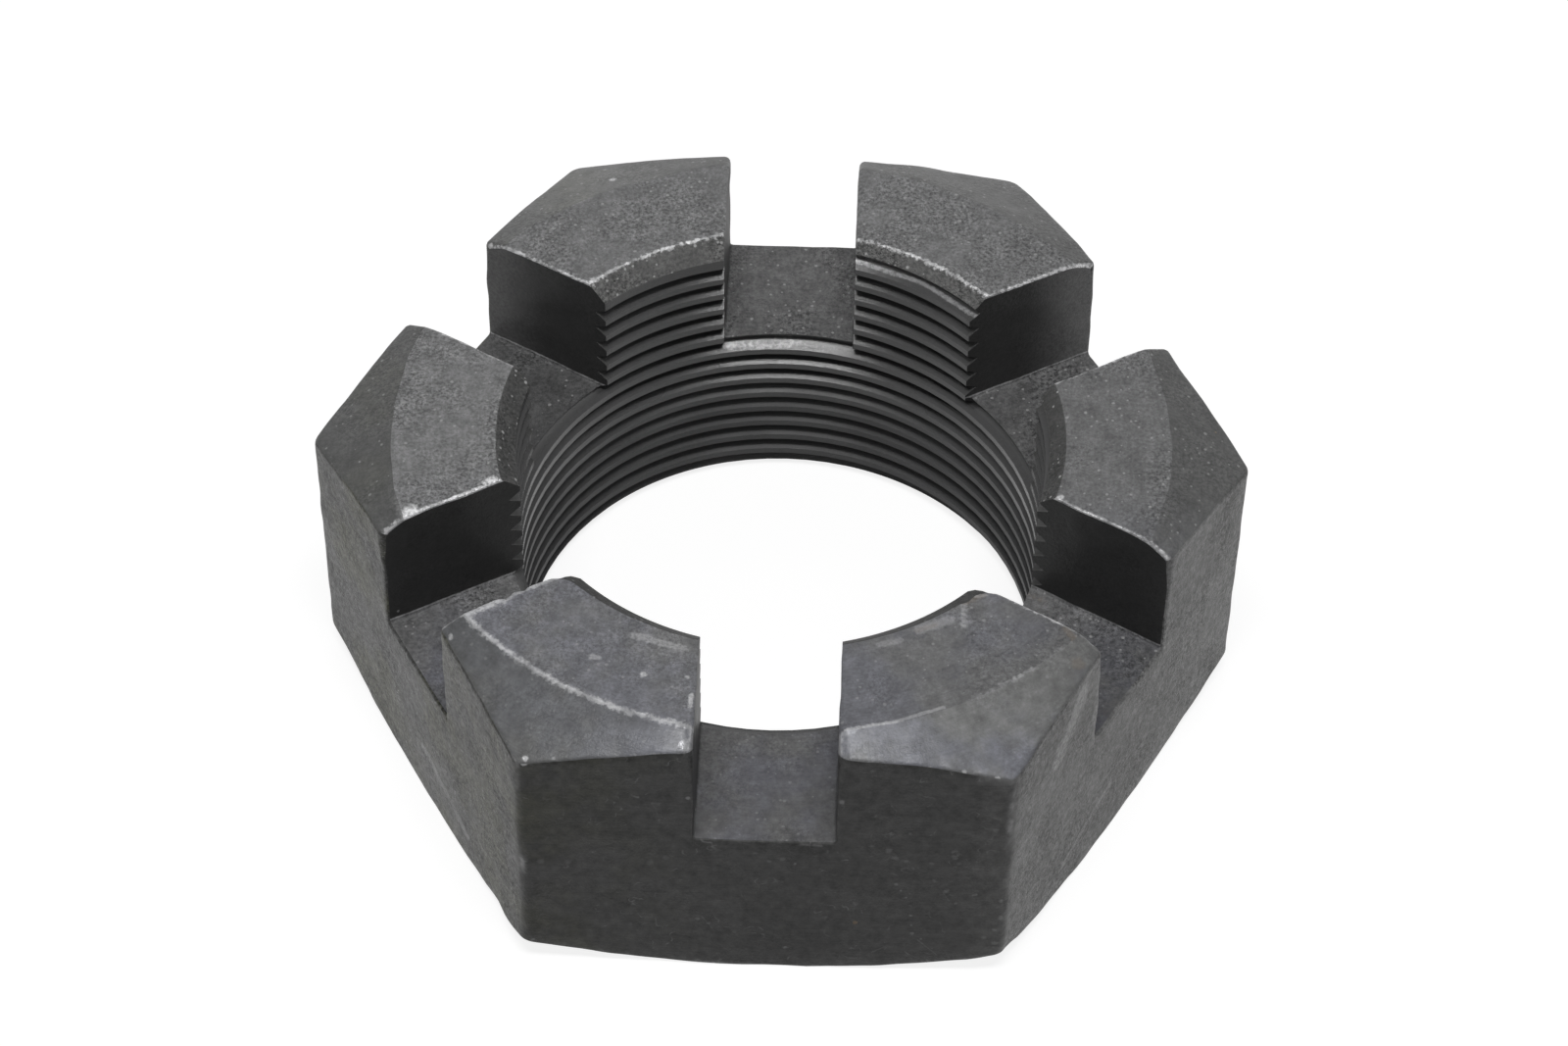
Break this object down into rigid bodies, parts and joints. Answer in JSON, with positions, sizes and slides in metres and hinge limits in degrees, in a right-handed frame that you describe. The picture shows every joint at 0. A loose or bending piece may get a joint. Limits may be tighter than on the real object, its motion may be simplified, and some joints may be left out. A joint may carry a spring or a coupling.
{
  "type": "hub nut",
  "caption": "Thick hexagon nut with a slotted crown for a split pin and a fine internal thread, for clamping a wheel hub on its spindle.",
  "frame": {"origin": "centre of the bearing face, on the thread's axis", "axes": "+Z along the thread's axis from the bearing face to the slotted crown; +X through a corner of the hexagon; -Y through the middle of a flat"},
  "size_m": [0.085, 0.074, 0.031],
  "materials": {
    "black_oxide_steel": "black-oxide forged and milled steel, dry, with worn bright edges"
  },
  "bodies": {
    "root": {"hub_nut": "black_oxide_steel"}
  },
  "joints": []
}
